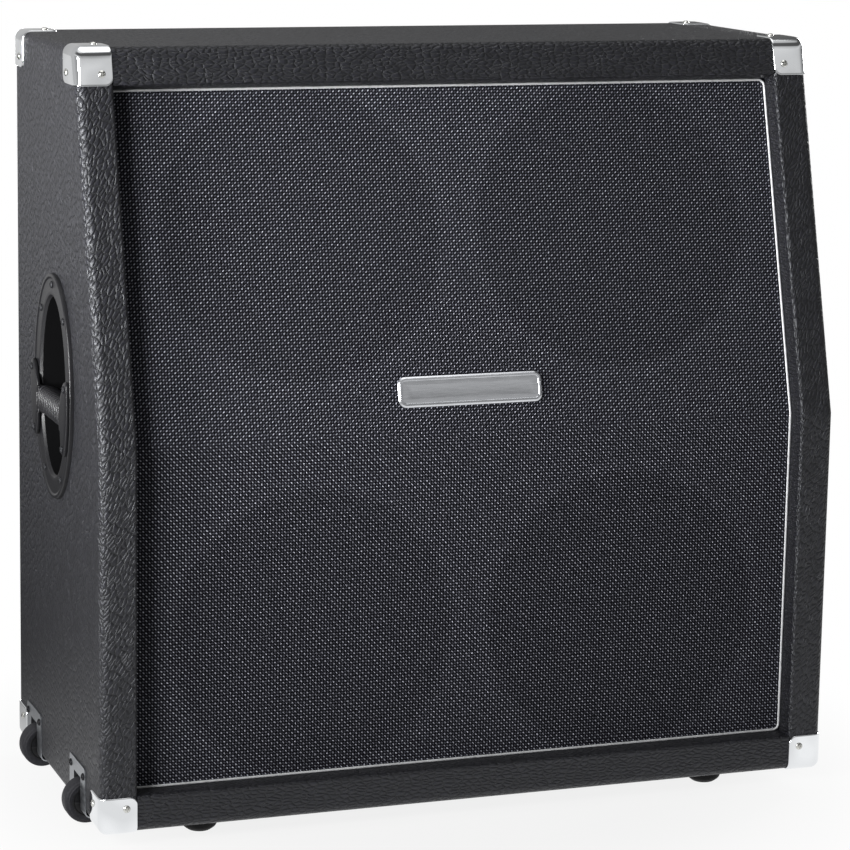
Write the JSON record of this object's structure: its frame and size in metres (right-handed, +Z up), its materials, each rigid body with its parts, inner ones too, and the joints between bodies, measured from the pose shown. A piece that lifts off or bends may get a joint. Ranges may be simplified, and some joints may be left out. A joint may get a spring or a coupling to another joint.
{
  "type": "guitar speaker cabinet",
  "caption": "Slant-front guitar speaker cabinet in black vinyl with a recessed woven grille, chrome corners, side bar handles, tilt-back wheels and a rear jack plate.",
  "frame": {"origin": "on the floor under the middle of the shell", "axes": "+Z up, the grille faces -Y, +X to the right when looking at the grille"},
  "size_m": [0.7862, 0.357, 0.7605],
  "materials": {
    "vinyl": "black grained vinyl over wood, satin",
    "cloth": "black woven grille cloth with fine pale flecks",
    "piping": "pale silver bead",
    "chrome": "bright plated steel",
    "bright_screw": "plated steel",
    "dark_screw": "black oxide steel",
    "handle_plastic": "moulded black, fine grain",
    "bracket_steel": "light grey pressed steel",
    "axle_steel": "turned steel",
    "wheel_plastic": "moulded dark grey",
    "tyre_rubber": "dark grey rubber",
    "foot_rubber": "black rubber",
    "board": "birch plywood, bare inside",
    "basket_steel": "black enamel",
    "motor_iron": "ferrite and plated steel",
    "paper": "doped paper pulp",
    "gasket": "foam and cork gasket",
    "suspension": "doped cloth",
    "bolt_steel": "zinc plated",
    "terminal_board": "phenolic strip",
    "plate_paint": "black powder coat",
    "socket_plastic": "moulded black",
    "knob_plastic": "pale moulded knob"
  },
  "bodies": {
    "cabinet": {"badge_plate": "chrome", "baffle_joint_cleat": "board", "bottom_front_batten": "vinyl", "bottom_panel": "vinyl", "centre_brace": "board", "corner_screws": "bright_screw", "foot_screws": "dark_screw", "front_corners": "chrome", "grille_cloth": "cloth", "grille_piping": "piping", "handle_screws": "dark_screw", "jack_nuts": "chrome", "jack_plate": "plate_paint", "jack_plate_screws": "dark_screw", "jack_sockets": "socket_plastic", "left_front_batten": "vinyl", "left_handle_bar": "handle_plastic", "left_handle_dish": "handle_plastic", "left_side_panel": "vinyl", "lower_baffle": "board", "lower_left_basket": "basket_steel", "lower_left_magnet": "motor_iron", "lower_right_basket": "basket_steel", "lower_right_magnet": "motor_iron", "mode_switch_body": "socket_plastic", "rear_battens": "vinyl", "rear_cleats": "board", "rear_corners": "chrome", "rear_panel": "vinyl", "rear_panel_screws": "dark_screw", "right_front_batten": "vinyl", "right_handle_bar": "handle_plastic", "right_handle_dish": "handle_plastic", "right_side_panel": "vinyl", "rubber_feet": "foot_rubber", "speaker_bolts": "bolt_steel", "speaker_gaskets": "gasket", "speaker_spiders": "suspension", "speaker_surrounds": "suspension", "speaker_terminals": "terminal_board", "top_front_batten": "vinyl", "top_panel": "vinyl", "upper_baffle": "board", "upper_left_basket": "basket_steel", "upper_left_magnet": "motor_iron", "upper_right_basket": "basket_steel", "upper_right_magnet": "motor_iron", "wheel_axles": "axle_steel", "wheel_bracket_screws": "dark_screw", "wheel_brackets": "bracket_steel"},
    "front_wheel": {"front_wheel_hub": "wheel_plastic", "front_wheel_tyre": "tyre_rubber"},
    "rear_wheel": {"rear_wheel_hub": "wheel_plastic", "rear_wheel_tyre": "tyre_rubber"},
    "mode_knob": {"mode_switch_knob": "knob_plastic"},
    "upper_left_diaphragm": {"upper_left_cone": "paper"},
    "upper_right_diaphragm": {"upper_right_cone": "paper"},
    "lower_left_diaphragm": {"lower_left_cone": "paper"},
    "lower_right_diaphragm": {"lower_right_cone": "paper"}
  },
  "joints": [
    {"name": "front_wheel_spin", "type": "hinge", "parent": "cabinet", "child": "front_wheel", "pos_m": [-0.373, -0.086, 0.0255], "axis": [0, 1, 0], "continuous": true},
    {"name": "rear_wheel_spin", "type": "hinge", "parent": "cabinet", "child": "rear_wheel", "pos_m": [-0.373, 0.101, 0.0255], "axis": [0, 1, 0], "continuous": true},
    {"name": "upper_left_cone_travel", "type": "slide", "parent": "cabinet", "child": "upper_left_diaphragm", "axis": [0, 0.9665, -0.2567], "range_m": [-0.003, 0.003], "stiffness_N_per_m": 2500},
    {"name": "upper_right_cone_travel", "type": "slide", "parent": "cabinet", "child": "upper_right_diaphragm", "axis": [0, 0.9665, -0.2567], "range_m": [-0.003, 0.003], "stiffness_N_per_m": 2500},
    {"name": "lower_left_cone_travel", "type": "slide", "parent": "cabinet", "child": "lower_left_diaphragm", "axis": [0, 1, 0], "range_m": [-0.003, 0.003], "stiffness_N_per_m": 2500},
    {"name": "lower_right_cone_travel", "type": "slide", "parent": "cabinet", "child": "lower_right_diaphragm", "axis": [0, 1, 0], "range_m": [-0.003, 0.003], "stiffness_N_per_m": 2500},
    {"name": "mode_switch_slide", "type": "slide", "parent": "cabinet", "child": "mode_knob", "axis": [1, 0, 0], "range_m": [0, 0.006]}
  ]
}
